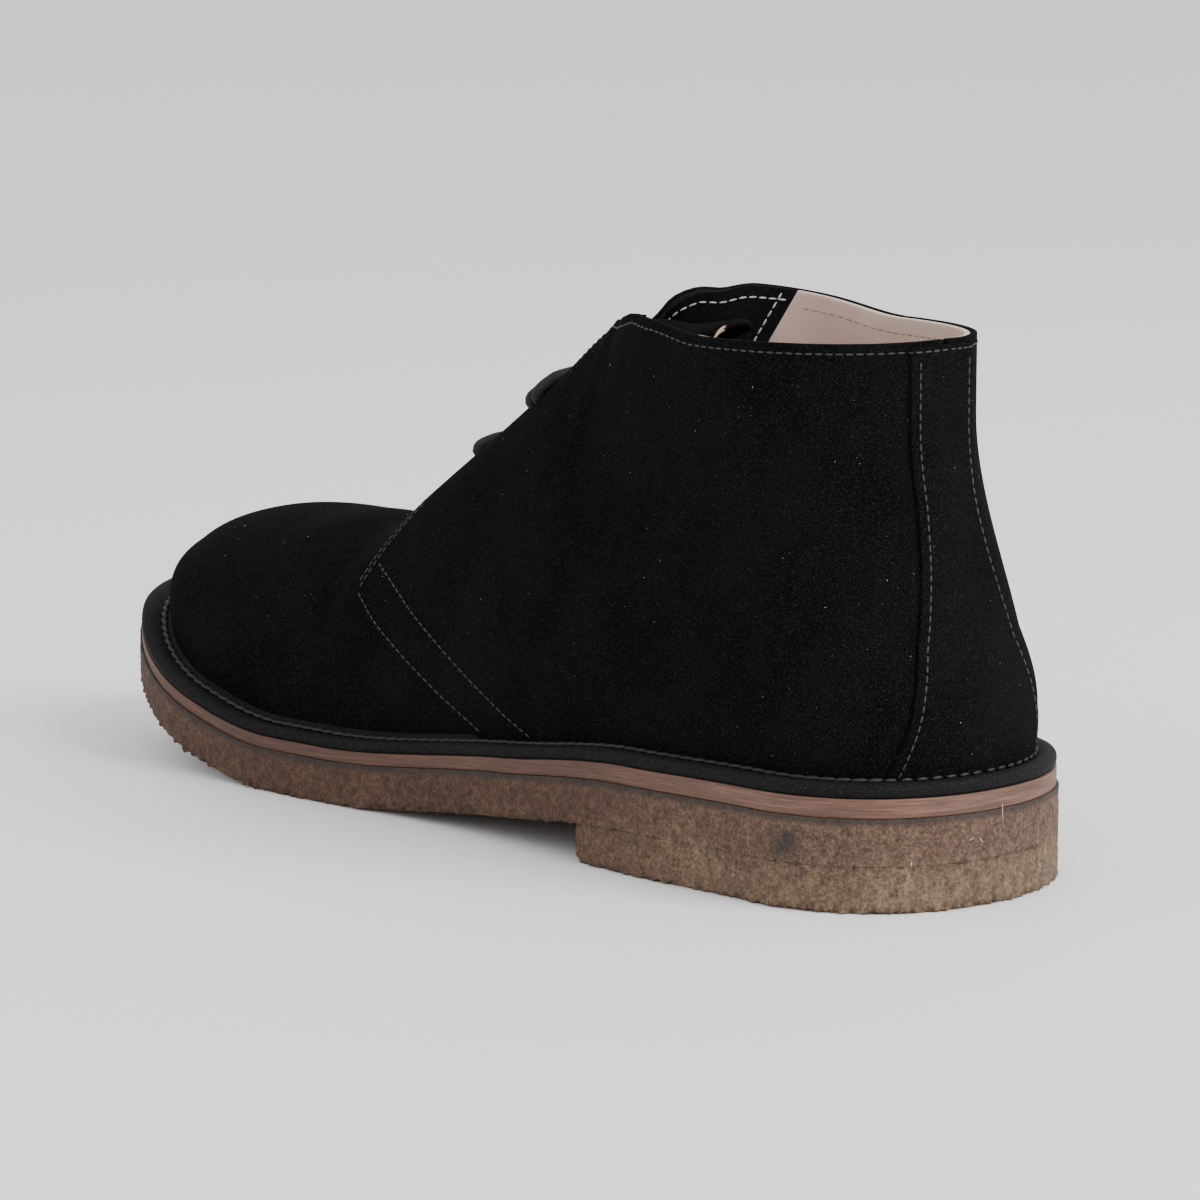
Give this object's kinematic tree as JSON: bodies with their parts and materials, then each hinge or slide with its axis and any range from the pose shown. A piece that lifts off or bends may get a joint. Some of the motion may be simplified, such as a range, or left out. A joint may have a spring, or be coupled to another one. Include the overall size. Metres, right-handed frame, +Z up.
{
  "type": "desert boot",
  "caption": "Left ankle-high suede lace-up boot with a stitched-down upper, leather midsole and crepe outsole with a raised heel.",
  "frame": {"origin": "centre of the bounding box's underside: on the floor, halfway along and across the sole", "axes": "+X towards the toe, +Y towards the outer side of the left foot, +Z up"},
  "size_m": [0.2994, 0.106, 0.1311],
  "materials": {
    "outsole": "matt crepe with a granular edge",
    "heel_lift": "matt crepe with a granular edge",
    "midsole": "natural cut edge",
    "insole": "smooth and pale",
    "upper": "black suede",
    "tongue": "black suede",
    "lace_lower": "woven cotton",
    "lace_upper": "woven cotton"
  },
  "bodies": {
    "root": {"outsole": "outsole", "heel_lift": "heel_lift", "midsole": "midsole", "insole": "insole", "upper": "upper", "tongue": "tongue", "lace_lower": "lace_lower", "lace_upper": "lace_upper"}
  },
  "joints": []
}
